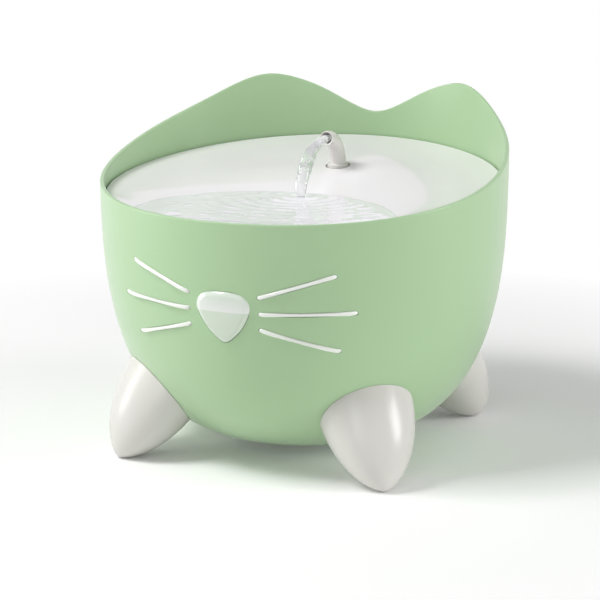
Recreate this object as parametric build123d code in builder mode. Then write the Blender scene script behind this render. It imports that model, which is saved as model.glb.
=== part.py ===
from build123d import *
import math
import os

# A round pet drinking fountain that looks like a cat's head on four small feet. The bowl is the
# water tank, and its rim rises at the back into two ears. A drinking dish closes the tank, and a
# spout at the back of the dish is fed by a pump that stands in a filter housing on the tank floor.
#
# Frame: origin on the ground under the bowl's axis, +Z up, the face of the cat looks along -Y.
# Angles round the bowl are counted from the front (-Y) towards +X. All sizes are in millimetres.

# ---- bowl -----------------------------------------------------------------------------------
BOWL_R = 120.0            # radius that the belly of the bowl tends to
BOWL_BASE_Z = 5.7         # underside of the bowl above the ground
DISH_REST_Z = 128.0       # the dish stands on ribs at this height, and the upper bowl follows it
BELLY_TOP = 99.7          # above the dish's rest, where the belly curve would turn upright
BELLY_SHAPE = 3.514       # how late the side wall leaves the vertical
BELLY_ROUND = 2.988       # how square the curve is at the underside
EAR_LEAN = 1.9296         # how far the ears' tips lean in over their height above the leaning place
LEAN_START = 22.0         # above the dish's rest, where the lean is nought
WALL = 2.5                # wall of the bowl
SKIN_SPARE = 10.4         # the uncut wall is this much higher than the ears
DRAFT = 30.0              # this far above the dish's rest, the inside turns upright
CUT_OVER = 30.0           # cuts through the bowl's wall go on this far outside it
WALL_STEPS = 4            # spans of a spline along a short stretch of the wall

# The rim, as heights above the dish's rest: low in front, an ear on each side, a dip behind.
# Between them the rim is an angle from the front and a share of the rise or fall.
RIM_FRONT = 24.4
EAR_H = 75.6
EAR_ANGLE = 147.5
RIM_BACK = 52.4
EAR_RISE = ((45.0, 0.04), (75.0, 0.165), (90.0, 0.28), (110.0, 0.495), (130.0, 0.775), (142.0, 0.965))
EAR_FALL = ((155.0, 0.90), (163.0, 0.64), (172.0, 0.22))
RIM_ROUND = 0.7           # rounding of the rim's two edges

# ---- windows in the face --------------------------------------------------------------------
WINDOW_GAP = 0.15         # round each clear insert, in its opening
WINDOW_STAND = 0.8        # how far the nose window stands out of the wall
WHISKER_STAND = 0.8       # how far the whiskers stand out
WINDOW_SPARE = 2.0        # a window's blank is this much taller than the window
FLANGE_T = 1.2            # flange of an insert, on the inside of the wall
GLUE_FILM = 0.1           # between an insert's flange and what it is glued to
SEAL_T = 0.8              # seal between the nose window's flange and the wall
NOSE_DROP = 13.5          # top of the nose below the dish's rest
NOSE_H = 29.9
NOSE_HALF_W = 16.2        # half of the nose's width at its shoulders
NOSE_CORNER = (17.5, 3.4) # its corner before rounding: from the middle, and below the top
NOSE_CHEEK = (12.1, 10.9) # a place on its side: from the middle, and above the tip
NOSE_TIP_SHARP = 0.8      # how much lower the tip would be without its rounding
NOSE_CORNER_ROUND = 9.8
NOSE_TIP_ROUND = 5.2
NOSE_FLANGE = 2.6         # how far the flange reaches past the opening
WHISKER_W = 2.6
WHISKER_FLANGE = 1.6
WHISKER_ROOT_X = 19.9     # distance of each whisker's root from the middle of the face
WHISKERS = {              # root and tip height from the nose's top, and the tip's distance
    "top": (-2.8, 10.2, 60.7),
    "middle": (-11.8, -11.1, 69.8),
    "bottom": (-20.5, -33.2, 60.8),
}

# ---- feet -----------------------------------------------------------------------------------
FOOT_ANGLES = {"front_right": 45.0, "back_right": 134.0, "back_left": 226.0, "front_left": 315.0}
FOOT_TIP_IN = 2.5         # the foot's tip stands this far inside the bowl's radius
FOOT_LEAN = 36.0          # how far the foot leans, from upright
FOOT_LENGTH = 60.0        # from the tip to the widest place, inside the bowl's outline
FOOT_RADIAL = 24.4        # half of the foot's thickness, towards the bowl's axis
FOOT_ACROSS = 28.2        # half of the foot's width, round the bowl
FOOT_SWELL = 2.3          # how soon the foot reaches its full width
FOOT_POINT = 1.5          # how pointed its tip is
FOOT_TIP_SLICE = 0.25     # the tip's end is a small flat, this far along
FOOT_STEPS = 8            # cross sections along the foot, less one
FOOT_WALL = 2.6
FOOT_TIP_WALL = 1.6       # the tip's wall is this many times thicker
FOOT_GAP = 0.2            # glue gap between foot and bowl
FOOT_FLAT_Z = 0.5         # the tip is cut flat here, for the pad
PEG_R = 5.0               # peg on the bowl that locates the foot
PEG_TIP = 28.0            # distance of the peg's end from the foot's tip
PEG_GAP = 0.15
SOCKET_WALL = 2.2
SOCKET_FOOT = 7.0         # distance of the socket's root from the foot's tip
PAD_R = 3.2
PAD_T = 1.4

# ---- drinking dish --------------------------------------------------------------------------
DISH_GAP = 0.4            # between the dish and the bowl's wall
DISH_T = 2.4              # thickness of the dish
BANK = 18.6               # above the dish's rest: the bank, over which water runs back
POOL_IN = 50.0            # the pool's middle stands this far inside the bowl's radius
POOL_R = 75.0             # its bank
POOL_DEPTH = 12.0
POOL_BOWL = 1.3           # how round the pool's bottom is
POOL_FRONT_IN = 14.0      # the pool's front bank stands this far inside the bowl's radius
POOL_FRONT_BOWL = 6       # how late the bottom rises to the front bank
BANK_RUN = 20.0           # the dish rises from the bank to its edge over at least this
DISH_EDGE = 25.6          # above the dish's rest: the dish's edge beside the axis
DISH_EDGE_LOW = 22.4      # above the dish's rest: the lowest of the edge
DISH_EDGE_SLOPE = 0.075   # rise of the edge towards the back, mm per mm
DISH_EDGE_CURVE = 0.00022 # more rise, per mm squared
DISH_SWELL = 0.85         # below one, the slope up to the edge swells out
DISH_STEPS = 26           # spans of the surface each way
DISH_SPARE = 1.12         # the surface is this much larger than the dish
EDGE_SPARE = 1.3          # and goes on rising past its edge, by this share of the run
RETURN_SLOT = (13.0, 3.2) # each slot that lets the water back into the tank
RETURN_SLOT_STEP = 11.0   # angle from one slot to the next
RETURN_SLOTS = 5
RIB_W = 6.0               # ribs that carry the dish
RIB_DEPTH = 5.0
RIB_H = 26.0
RIB_ANGLES = (62.0, 100.0, 150.0, 210.0, 260.0, 298.0)

# ---- spout and riser, with heights above the dish's rest ------------------------------------
SPOUT_Y = 54.0            # the spout and everything under it stand on this upright line
SPOUT_R = 5.0
SPOUT_MOUTH_R = 4.15      # the tube narrows to this over its bend
SPOUT_BORE_R = 3.4
SPOUT_BEND = 28.0         # where the upright part ends
SPOUT_BEND_R = 19.2
SPOUT_FOOT = 10.4
SPOUT_MOUTH_ROUND = 0.3
SPOUT_STEPS = 6           # cross sections along the bend, less one
RUNNING_GAP = 0.06        # radial clearance of what turns or slides in a bore
DISH_BOSS_WALL = 2.6
DISH_BOSS = 6.0           # lower end of the boss under the dish
COLLAR_WALL = 1.4         # ring that shows round the spout
COLLAR_MOAT = 1.2         # gap between that ring and the dish
COLLAR_SHOULDER = 22.5
COLLAR_TOP = 29.2
COLLAR_ROUND = 0.6
COLLAR_LIP = 1.3          # reach of the lip under the boss, which keeps the collar in
COLLAR_LIP_T = 2.0
O_RING_R = 0.45
O_RING = 16.0
NIPPLE_WALL = 1.5         # nipple under the collar, inside the riser tube
NIPPLE_L = 9.5            # how deep it reaches into the riser
NIPPLE_GAP = 0.3
RISER_WALL = 2.0
RISER_TOP_GAP = 1.25      # between the riser's end and the collar's lip

# ---- filter housing, on the tank floor ------------------------------------------------------
HOUSING_BACK = 16.0       # the housing reaches this far behind the spout's line
HOUSING_W = 74.0
HOUSING_L = 104.0
HOUSING_CORNER = 22.0
HOUSING_WALL = 2.0
HOUSING_ROOM = 6.5        # between its lower corners and the bowl's wall, at least
STAND_R = 30.0            # ring on the bowl's floor that carries the housing
STAND_WALL = 2.5
STAND_GATE = 15.0         # gap in the ring, for the water
TRAY_H = 16.0             # filter tray on top of the housing
LIP_T = 1.5               # lip that centres the tray in the housing
LIP_H = 4.0
FIT_GAP = 0.25
SLEEVE_GAP = 0.5          # round the riser tube, where it passes the filter
SLEEVE_WALL = 1.8
FOAM_T = 6.0
CARBON_T = 6.0
LID_T = 2.0
GRILLE_SLOT = (26.0, 3.0)
GRILLE_STEP = 7.0
GRILLE_INSET = 14.0
GRILLE_BAR = 4.0          # bar between two slots end to end

# ---- pump -----------------------------------------------------------------------------------
PUMP_FOOT_H = 4.0
PUMP_FOOT_R = 5.0
PUMP_FOOT_TAPER = 18.0
PUMP_FOOT_IN = (6.0, 7.5) # from the pocket's sides and ends to the middle of each foot
PUMP_W = 38.0
PUMP_H = 32.0
PUMP_L = 50.0
PUMP_WALL = 2.0
PUMP_ROUND = 4.0
PUMP_ROOM = 14.0          # between the pump's top and the housing's
VOLUTE_L = 14.0
VOLUTE_R = 16.0
VOLUTE_BORE_R = 13.5
VOLUTE_WALL = 2.0
NOZZLE_WALL = 1.2
NOZZLE_GAP = 0.1          # between the nozzle and the riser
NOZZLE_L = 18.0           # above the pump's top
RISER_FOOT = 6.0          # the riser's foot above the pump's top
INLET_R = 7.5             # ring of inlet holes in the end of the impeller housing
INLET_HOLE_R = 1.9
INLET_HOLES = 5
VOLUTE_HUB_R = 4.2        # hub on the housing's end, with the front bush in it
VOLUTE_HUB_L = 4.4
VOLUTE_LIP_R = 4.9        # lip of the hub, which keeps the regulator on
VOLUTE_LIP_T = 0.8
SHAFT_R = 1.0
BUSH_R = 2.6
BUSH_L = 3.0
BUSH_FLOOR = 0.6          # end of each bush, behind the shaft
WELL_R = 7.4              # blind well in the motor block that the rotor turns in
WELL_L = 28.0
WELL_WALL = 0.8
WELL_END_GAP = 1.0        # at each end of the rotor
MAGNET_R = 6.6
HUB_R = 4.0
BLADE_R = 12.0
BLADE_T = 1.2
BLADES = 6
CORE_H = 14.0             # stack of stator sheets
CORE_LEG = 5.0            # width of each leg and of the bridge
CORE_L = 37.0
CORE_BACK_GAP = 4.0       # between the stack and the pump's back face
COIL_T = 4.0
COIL_GAP = 0.3
COIL_ROUND = 3.0
REGULATOR_R = 11.0
REGULATOR_T = 2.4
REGULATOR_TAB = (6.0, 5.0)
GLAND_R = 4.2
GLAND_BORE_R = 2.4
GLAND_L = 9.0
GLAND_RISE = 5.0          # of the gland above the rotor's axis

# ---- cable outlet in the back of the bowl ---------------------------------------------------
OUTLET = 11.0             # its middle above the dish's rest
GROMMET_R = 5.5
GROMMET_BORE_R = 2.6
GROMMET_FLANGE = 2.0
GROMMET_FLANGE_T = 1.3
GROMMET_GAP = 0.1
GROMMET_FLANGE_GAP = 0.3  # between its flange and the wall
OUTLET_NOTCH = (20.0, 15.0)  # notch in the dish's skirt: width, and room above the outlet's middle

# ---- sizes that follow ----------------------------------------------------------------------
RIM_FRONT_Z = DISH_REST_Z + RIM_FRONT
RIM_BACK_Z = DISH_REST_Z + RIM_BACK
EAR_Z = DISH_REST_Z + EAR_H
BELLY_TOP_Z = DISH_REST_Z + BELLY_TOP
LEAN_Z = DISH_REST_Z + LEAN_START
DRAFT_Z = DISH_REST_Z + DRAFT
SKIN_TOP_Z = EAR_Z + SKIN_SPARE
BOWL_LEAN = EAR_LEAN / (EAR_Z - LEAN_Z)              # mm inwards for each mm up
CUT_REACH = BOWL_R + CUT_OVER
NOSE_TOP_Z = DISH_REST_Z - NOSE_DROP
NOSE_TIP_Z = NOSE_TOP_Z - NOSE_H
FOOT_TIP_R = BOWL_R - FOOT_TIP_IN
BANK_Z = DISH_REST_Z + BANK
POOL_Y = POOL_IN - BOWL_R
POOL_FRONT_R = BOWL_R - POOL_FRONT_IN
OUTLET_Z = DISH_REST_Z + OUTLET
COLLAR_BORE_R = SPOUT_R + RUNNING_GAP
COLLAR_RING_R = SPOUT_R + COLLAR_WALL                # the ring that shows round the spout
DISH_BOSS_BORE = COLLAR_RING_R + COLLAR_MOAT
DISH_BOSS_Z = DISH_REST_Z + DISH_BOSS
COLLAR_LIP_Z = DISH_BOSS_Z - FIT_GAP - COLLAR_LIP_T  # underside of the collar's lip
SPOUT_FOOT_Z = DISH_REST_Z + SPOUT_FOOT
SPOUT_BEND_Z = DISH_REST_Z + SPOUT_BEND
O_RING_Z = DISH_REST_Z + O_RING
NIPPLE_R = SPOUT_BORE_R + NIPPLE_WALL
RISER_BORE_R = NIPPLE_R + NIPPLE_GAP
RISER_R = RISER_BORE_R + RISER_WALL
RISER_TOP_Z = COLLAR_LIP_Z - RISER_TOP_GAP
NOZZLE_R = RISER_BORE_R - NOZZLE_GAP
SLEEVE_BORE_R = RISER_R + SLEEVE_GAP
SLEEVE_R = SLEEVE_BORE_R + SLEEVE_WALL
HOUSING_Y = SPOUT_Y + HOUSING_BACK - HOUSING_L / 2
PUMP_BACK_Y = SPOUT_Y - VOLUTE_L / 2                 # face that the impeller housing sits on
PUMP_FRONT_Y = PUMP_BACK_Y - PUMP_L
WELL_FRONT_Y = PUMP_BACK_Y - WELL_L


def skin_radius(z):
    """Radius of the bowl's outer surface at height z."""
    t = max(0.0, BELLY_TOP_Z - z) / (BELLY_TOP_Z - BOWL_BASE_Z)
    belly = BOWL_R * max(0.0, 1 - t**BELLY_SHAPE) ** (1 / BELLY_ROUND)
    return belly - BOWL_LEAN * (z - LEAN_Z)


def skin_point(z, depth):
    """Point (r, z) that lies `depth` inside the outer surface, square to it, at height z."""
    step = 1e-4
    slope = (skin_radius(z + step) - skin_radius(z)) / step
    length = math.hypot(1, slope)
    return (skin_radius(z) - depth / length, z + depth * slope / length)


def skin_points(depth, low_z, high_z, count=11):
    """Points of the wall's surface at a depth, closer together near the underside."""
    rise = high_z - low_z
    return [skin_point(low_z + rise * (i / count) ** 3, depth) for i in range(count + 1)]


def solid_skin(depth):
    """The bowl as one solid block, `depth` inside its outer surface."""
    points = skin_points(depth, BOWL_BASE_Z, SKIN_TOP_Z)
    with BuildPart() as block:
        with BuildSketch(Plane.XZ):
            with BuildLine():
                side = Spline(points, tangents=((1, 0), (-BOWL_LEAN, 1)))
                Polyline(side @ 1, (0, points[-1][1]), (0, points[0][1]), side @ 0)
            make_face()
        revolve(axis=Axis.Z)
    return block.part


def wall_band(outer_depth, inner_depth, low_z, high_z):
    """Ring of the wall between two depths and two heights."""
    heights = [low_z + (high_z - low_z) * i / WALL_STEPS for i in range(WALL_STEPS + 1)]
    with BuildPart() as band:
        with BuildSketch(Plane.XZ):
            with BuildLine():
                outside = Spline([skin_point(z, outer_depth) for z in heights])
                inside = Spline([skin_point(z, inner_depth) for z in heights])
                Line(outside @ 0, inside @ 0)
                Line(outside @ 1, inside @ 1)
            make_face()
        revolve(axis=Axis.Z)
    return band.part


def rim_height_points():
    """Angle and height of the rim, all the way round."""
    rise = EAR_Z - RIM_FRONT_Z
    fall = EAR_Z - RIM_BACK_Z
    half = [(0.0, RIM_FRONT_Z)]
    half += [(angle, RIM_FRONT_Z + share * rise) for angle, share in EAR_RISE]
    half += [(EAR_ANGLE, EAR_Z)]
    half += [(angle, RIM_BACK_Z + share * fall) for angle, share in EAR_FALL]
    half += [(180.0, RIM_BACK_Z)]
    return half + [(360 - angle, z) for angle, z in reversed(half[1:-1])]


def rim_ring(radius):
    """The rim's line on a cylinder of this radius."""
    points = []
    for angle, z in rim_height_points():
        turn = math.radians(angle)
        points.append(Vector(radius * math.sin(turn), -radius * math.cos(turn), z))
    return Edge.make_spline(points, periodic=True)


def above_rim():
    """Everything above the rim, to be cut off the bowl's wall."""
    band = Face.make_surface_from_curves(rim_ring(CUT_REACH), rim_ring(BOWL_R / 2))
    return Solid.extrude(band, Vector(0, 0, CUT_REACH))


def at_angle(angle, radius=0.0, z=0.0):
    """Place at an angle round the bowl, its X axis pointing outwards."""
    return Location((0, 0, 0), (0, 0, angle - 90)) * Location((radius, 0, z))


def housing_height():
    """Lowest height, in whole millimetres, at which the housing's corners clear the bowl's wall."""
    corner_x = HOUSING_W / 2 - HOUSING_CORNER
    corner_y = abs(HOUSING_Y) + HOUSING_L / 2 - HOUSING_CORNER
    reach = math.hypot(corner_x, corner_y) + HOUSING_CORNER + HOUSING_ROOM
    z = math.ceil(BOWL_BASE_Z + WALL)
    while skin_point(z, WALL)[0] < reach:
        z += 1
    return z


DISH_R = skin_point(DISH_REST_Z, WALL)[0] - DISH_GAP
HOUSING_Z = housing_height()                         # underside of the housing's floor
PUMP_Z = HOUSING_Z + HOUSING_WALL + PUMP_FOOT_H      # underside of the pump
PUMP_AXIS_Z = PUMP_Z + PUMP_H / 2                    # the rotor turns on this line, along Y
PUMP_TOP_Z = PUMP_Z + PUMP_H
NOZZLE_TOP_Z = PUMP_TOP_Z + NOZZLE_L
HOUSING_TOP_Z = PUMP_TOP_Z + PUMP_ROOM
TRAY_TOP_Z = HOUSING_TOP_Z + TRAY_H


# ---- windows --------------------------------------------------------------------------------
def nose_prism(grow):
    """The nose's outline, grown all round, as a prism through the front of the bowl."""
    k = 1 + grow / NOSE_HALF_W
    middle_z = (NOSE_TOP_Z + NOSE_TIP_Z) / 2
    corner = (k * NOSE_CORNER[0], k * (NOSE_TOP_Z - NOSE_CORNER[1] - middle_z))
    cheek = (k * NOSE_CHEEK[0], k * (NOSE_TIP_Z + NOSE_CHEEK[1] - middle_z))
    top = (0, k * (NOSE_TOP_Z - middle_z))
    tip = (0, k * (NOSE_TIP_Z - NOSE_TIP_SHARP - middle_z))
    with BuildPart() as prism:
        with BuildSketch(Plane((0, -BOWL_R / 2, middle_z), x_dir=(1, 0, 0), z_dir=(0, -1, 0))) as face:
            with BuildLine():
                ThreePointArc((-corner[0], corner[1]), top, corner)
                ThreePointArc(corner, cheek, tip)
                ThreePointArc(tip, (-cheek[0], cheek[1]), (-corner[0], corner[1]))
            make_face()
            corners = face.vertices().sort_by(Axis.Y)
            fillet(corners[0], radius=NOSE_TIP_ROUND * k)
            fillet(face.vertices().sort_by(SortBy.DISTANCE)[-2:], radius=NOSE_CORNER_ROUND * k)
        extrude(amount=CUT_REACH - BOWL_R / 2)
    return prism.part


def whisker_prism(side, name, grow):
    """One whisker's outline, grown all round, as a prism through the front of the bowl."""
    root, tip, tip_x = WHISKERS[name]
    run = tip_x - WHISKER_ROOT_X
    rise = tip - root
    middle = (side * (WHISKER_ROOT_X + run / 2), NOSE_TOP_Z + (root + tip) / 2)
    turn = side * math.degrees(math.atan2(rise, run))
    with BuildPart() as prism:
        with BuildSketch(Plane.XZ.offset(BOWL_R / 2)):
            with Locations(middle):
                SlotOverall(math.hypot(run, rise) + 2 * grow, WHISKER_W + 2 * grow, rotation=turn)
        extrude(amount=CUT_REACH - BOWL_R / 2)
    return prism.part


def insert(prism, flange_prism, stand, seal):
    """A clear insert: a plug that stands out of the wall, with a flange inside the wall."""
    flange_depth = WALL + seal + GLUE_FILM
    low_z = flange_prism.bounding_box().min.Z - WINDOW_SPARE
    high_z = flange_prism.bounding_box().max.Z + WINDOW_SPARE
    plug = wall_band(-stand, flange_depth + FLANGE_T / 2, low_z, high_z)
    flange = wall_band(flange_depth, flange_depth + FLANGE_T, low_z, high_z)
    with BuildPart() as piece:
        add(plug)
        add(prism, mode=Mode.INTERSECT)
        add(flange & flange_prism)
    return piece.part


# ---- feet -----------------------------------------------------------------------------------
def foot_share(s):
    """Width of the foot at distance s from its tip, as a share of its full width."""
    return (1 - (1 - s / FOOT_LENGTH) ** FOOT_SWELL) ** (1 / FOOT_POINT)


def foot_contact():
    """Distance from the axis of the foot's lowest place, and how far that lies below the tip."""
    lean = math.radians(FOOT_LEAN)
    lowest = (0.0, 0.0)
    for i in range(1, 100):
        s = FOOT_LENGTH * (i / 100) ** 2
        width = FOOT_RADIAL * foot_share(s)
        drop = width * math.sin(lean) - s * math.cos(lean)
        if drop > lowest[1]:
            lowest = (s * math.sin(lean) + width * math.cos(lean), drop)
    return (FOOT_TIP_R - lowest[0], lowest[1])


def foot_place(angle):
    """Place of the foot's tip, its Z axis along the foot towards the bowl."""
    return at_angle(angle, FOOT_TIP_R, foot_contact()[1]) * Location((0, 0, 0), (0, -FOOT_LEAN, 0))


def foot_cone(inset):
    """The foot's rounded cone, inset all round, standing on its tip at the origin."""
    tip = FOOT_TIP_SLICE / FOOT_LENGTH
    length = FOOT_LENGTH - FOOT_TIP_WALL * inset
    with BuildPart() as cone:
        for i in range(FOOT_STEPS + 1):
            s = tip + (1 - tip) * (i / FOOT_STEPS) ** 2
            share = foot_share(FOOT_LENGTH * s)
            with BuildSketch(Plane.XY.offset(FOOT_TIP_WALL * inset + length * s)):
                Ellipse((FOOT_RADIAL - inset) * share, (FOOT_ACROSS - inset) * share)
        loft()
    return cone.part


def axial_rod(radius, low, high):
    """Rod along the foot's own axis."""
    with BuildPart() as rod:
        with BuildSketch(Plane.XY.offset(low)):
            Circle(radius)
        extrude(amount=high - low)
    return rod.part


# ---- dish surface ---------------------------------------------------------------------------
def dish_edge_z(y):
    """Height of the dish's edge, which rises towards the back."""
    rise = DISH_EDGE + DISH_EDGE_SLOPE * y + DISH_EDGE_CURVE * y * y
    return DISH_REST_Z + max(DISH_EDGE_LOW, rise)


def dish_z(x, y):
    """Height of the dish's upper surface: a shallow pool in front, a slope up to the edge."""
    away = math.hypot(x, y - POOL_Y)
    if away < POOL_R:
        front = min(1.0, math.hypot(x, y) / POOL_FRONT_R)
        hollow = (1 - (away / POOL_R) ** 2) ** POOL_BOWL * (1 - front**POOL_FRONT_BOWL)
        return BANK_Z - POOL_DEPTH * hollow
    back = (y - POOL_Y) / away
    along = POOL_Y * back
    to_edge = math.sqrt(along * along + DISH_R * DISH_R - POOL_Y * POOL_Y) - along
    share = min(EDGE_SPARE, (away - POOL_R) / max(BANK_RUN, to_edge - POOL_R))
    return BANK_Z + share**DISH_SWELL * (dish_edge_z(POOL_Y + to_edge * back) - BANK_Z)


def dish_face(drop):
    """The dish's upper surface, or one that lies below it by `drop`."""
    reach = DISH_SPARE * DISH_R
    places = [reach * (2 * i / DISH_STEPS - 1) for i in range(DISH_STEPS + 1)]
    grid = [[Vector(x, y, dish_z(x, y) - drop) for y in places] for x in places]
    return Face.make_surface_from_array_of_points(grid, tol=0.05)


def dish_level(drop, radius, low_z):
    """A round block from low_z up to the dish's surface, less `drop`."""
    above = Solid.extrude(dish_face(drop), Vector(0, 0, CUT_REACH))
    with BuildPart() as block:
        with BuildSketch(Plane.XY.offset(low_z)):
            Circle(radius)
        extrude(amount=EAR_Z - low_z)
        add(above, mode=Mode.SUBTRACT)
    return block.part


# ---- shared shapes --------------------------------------------------------------------------
def riser_plane(z):
    """Level plane with its origin on the upright line under the spout."""
    return Plane((0, SPOUT_Y, z))


def bend_plane(turn):
    """Plane across the bent part of the spout, `turn` degrees along the bend."""
    up = math.cos(math.radians(turn))
    forward = math.sin(math.radians(turn))
    y = SPOUT_Y - SPOUT_BEND_R * (1 - up)
    return Plane((0, y, SPOUT_BEND_Z + SPOUT_BEND_R * forward), x_dir=(1, 0, 0), z_dir=(0, -forward, up))


def upright_plane(y):
    """Upright plane across the bowl's back at the cable outlet. Its normal points along +Y."""
    return Plane((0, y, OUTLET_Z), x_dir=(1, 0, 0), z_dir=(0, 1, 0))


def housing_plane(z):
    """Level plane with its origin in the middle of the filter housing."""
    return Plane((0, HOUSING_Y, z))


def housing_outline(inset, mode=Mode.ADD):
    """The filter housing's rounded outline, in the sketch that is open."""
    corner = HOUSING_CORNER - inset
    RectangleRounded(HOUSING_W - 2 * inset, HOUSING_L - 2 * inset, corner, mode=mode)


def grille():
    """Slots of a grille over the filter, clear of the riser tube, in the sketch that is open."""
    count = int((HOUSING_L - 2 * GRILLE_INSET) / GRILLE_STEP) + 1
    outer_x = GRILLE_BAR / 2 + GRILLE_SLOT[0]
    for i in range(count):
        y = (i - (count - 1) / 2) * GRILLE_STEP
        by_riser = abs(HOUSING_Y + y - SPOUT_Y) < SLEEVE_R + GRILLE_SLOT[1]
        inner_x = SLEEVE_R + GRILLE_BAR / 2 if by_riser else GRILLE_BAR / 2
        middle = (inner_x + outer_x) / 2
        with Locations((middle, y), (-middle, y)):
            SlotOverall(outer_x - inner_x, GRILLE_SLOT[1])


def rotor_plane(y):
    """Upright plane across the rotor's line. Its normal points along +Y."""
    return Plane((0, y, PUMP_AXIS_Z), x_dir=(1, 0, 0), z_dir=(0, 1, 0))


def round_y(radius, low_y, high_y):
    """Rod along the rotor's line."""
    with BuildPart() as rod:
        with BuildSketch(rotor_plane(low_y)):
            Circle(radius)
        extrude(amount=high_y - low_y)
    return rod.part


# ---- blanks that more than one piece uses ---------------------------------------------------
skin_in_wall = solid_skin(WALL / 2)
skin_around = solid_skin(-FOOT_GAP)
os.makedirs("parts", exist_ok=True)

# ---- outer bowl -----------------------------------------------------------------------------
inner_r = skin_point(DRAFT_Z, WALL)[0]
outside_points = skin_points(0, BOWL_BASE_Z, SKIN_TOP_Z)
inside_points = skin_points(WALL, BOWL_BASE_Z, DRAFT_Z)
rib_band = wall_band(WALL / 2, WALL + RIB_DEPTH, DISH_REST_Z - RIB_H, DISH_REST_Z + RIB_DEPTH)
peg = axial_rod(PEG_R, PEG_TIP, FOOT_LENGTH)
outlet_y = skin_radius(OUTLET_Z)
window_cuts = [whisker_prism(side, name, 0) for side in (-1, 1) for name in WHISKERS]
window_cuts.append(nose_prism(0))

with BuildPart() as outer_bowl:
    with BuildSketch(Plane.XZ):
        with BuildLine():
            outside = Spline(outside_points, tangents=((1, 0), (-BOWL_LEAN, 1)))
            inside = Spline(inside_points, tangents=((1, 0), (0, 1)))
            Polyline(outside @ 1, (inner_r, SKIN_TOP_Z), inside @ 1)
            Polyline(inside @ 0, (0, inside_points[0][1]), (0, BOWL_BASE_Z), outside @ 0)
        make_face()
    revolve(axis=Axis.Z)
    add(window_cuts, mode=Mode.SUBTRACT)
    add(above_rim(), mode=Mode.SUBTRACT)
    high_edges = outer_bowl.edges().filter_by(lambda edge: edge.bounding_box().max.Z > EAR_Z - WALL)
    fillet(high_edges.filter_by(lambda edge: edge.bounding_box().size.X > BOWL_R), radius=RIM_ROUND)
    for rib_angle in RIB_ANGLES:
        rib_place = at_angle(rib_angle, inner_r - RIB_DEPTH / 2, DISH_REST_Z - RIB_H / 2)
        rib_box = rib_place * Box(3 * RIB_DEPTH, RIB_W, RIB_H, mode=Mode.PRIVATE)
        add(rib_box & rib_band)
    stand = Pos(0, HOUSING_Y, HOUSING_Z / 2) * (
        Cylinder(STAND_R, HOUSING_Z, mode=Mode.PRIVATE)
        - Cylinder(STAND_R - STAND_WALL, HOUSING_Z, mode=Mode.PRIVATE)
        - Box(3 * STAND_R, STAND_GATE, HOUSING_Z, mode=Mode.PRIVATE)
    )
    add(stand & skin_in_wall)
    for foot_angle in FOOT_ANGLES.values():
        add((foot_place(foot_angle) * peg) - skin_in_wall)
    with BuildSketch(upright_plane(outlet_y)):
        Circle(GROMMET_R)
    extrude(amount=4 * WALL, both=True, mode=Mode.SUBTRACT)
outer_bowl.part.label = "outer_bowl"
export_step(outer_bowl.part, "parts/outer_bowl.step")

# ---- windows --------------------------------------------------------------------------------
nose_flange = nose_prism(NOSE_FLANGE)
nose_window = insert(nose_prism(-WINDOW_GAP), nose_flange, WINDOW_STAND, SEAL_T)
nose_window.label = "nose_window"
export_step(nose_window, "parts/nose_window.step")

with BuildPart() as nose_window_seal:
    seal_spare = NOSE_FLANGE + WINDOW_SPARE
    add(wall_band(WALL + GLUE_FILM, WALL + SEAL_T, NOSE_TIP_Z - seal_spare, NOSE_TOP_Z + seal_spare))
    add(nose_flange, mode=Mode.INTERSECT)
    add(nose_prism(0), mode=Mode.SUBTRACT)
nose_window_seal.part.label = "nose_window_seal"
export_step(nose_window_seal.part, "parts/nose_window_seal.step")

for whisker_name in WHISKERS:
    for face_side, side_name in ((-1, "left"), (1, "right")):
        plug_prism = whisker_prism(face_side, whisker_name, -WINDOW_GAP)
        flange_prism = whisker_prism(face_side, whisker_name, WHISKER_FLANGE)
        whisker = insert(plug_prism, flange_prism, WHISKER_STAND, 0)
        whisker.label = f"whisker_{whisker_name}_{side_name}"
        export_step(whisker, f"parts/{whisker.label}.step")

# ---- feet and their pads --------------------------------------------------------------------
contact_r, _ = foot_contact()
socket_r = PEG_R + PEG_GAP
foot_block = foot_cone(0)
foot_hollow = foot_cone(FOOT_WALL)
foot_socket = axial_rod(socket_r + SOCKET_WALL, SOCKET_FOOT, FOOT_LENGTH)
foot_bore = axial_rod(socket_r, PEG_TIP - 2 * PEG_GAP, 2 * FOOT_LENGTH)
foot_shell = foot_block - foot_hollow + foot_socket - foot_bore

for foot_name, foot_angle in FOOT_ANGLES.items():
    pad_plane = Plane(at_angle(foot_angle, contact_r))
    with BuildPart() as foot:
        add(foot_place(foot_angle) * foot_shell)
        add(skin_around, mode=Mode.SUBTRACT)
        with BuildSketch(Plane.XY.offset(-PAD_T)):
            Circle(2 * BOWL_R)
        extrude(amount=PAD_T + FOOT_FLAT_Z, mode=Mode.SUBTRACT)
        with BuildSketch(pad_plane):
            Circle(PAD_R + PEG_GAP)
        extrude(amount=PAD_T, mode=Mode.SUBTRACT)
    foot.part.label = f"foot_{foot_name}"
    export_step(foot.part, f"parts/{foot.part.label}.step")

    with BuildPart() as foot_pad:
        with BuildSketch(pad_plane):
            Circle(PAD_R)
        extrude(amount=PAD_T)
    foot_pad.part.label = f"foot_pad_{foot_name}"
    export_step(foot_pad.part, f"parts/{foot_pad.part.label}.step")

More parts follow.
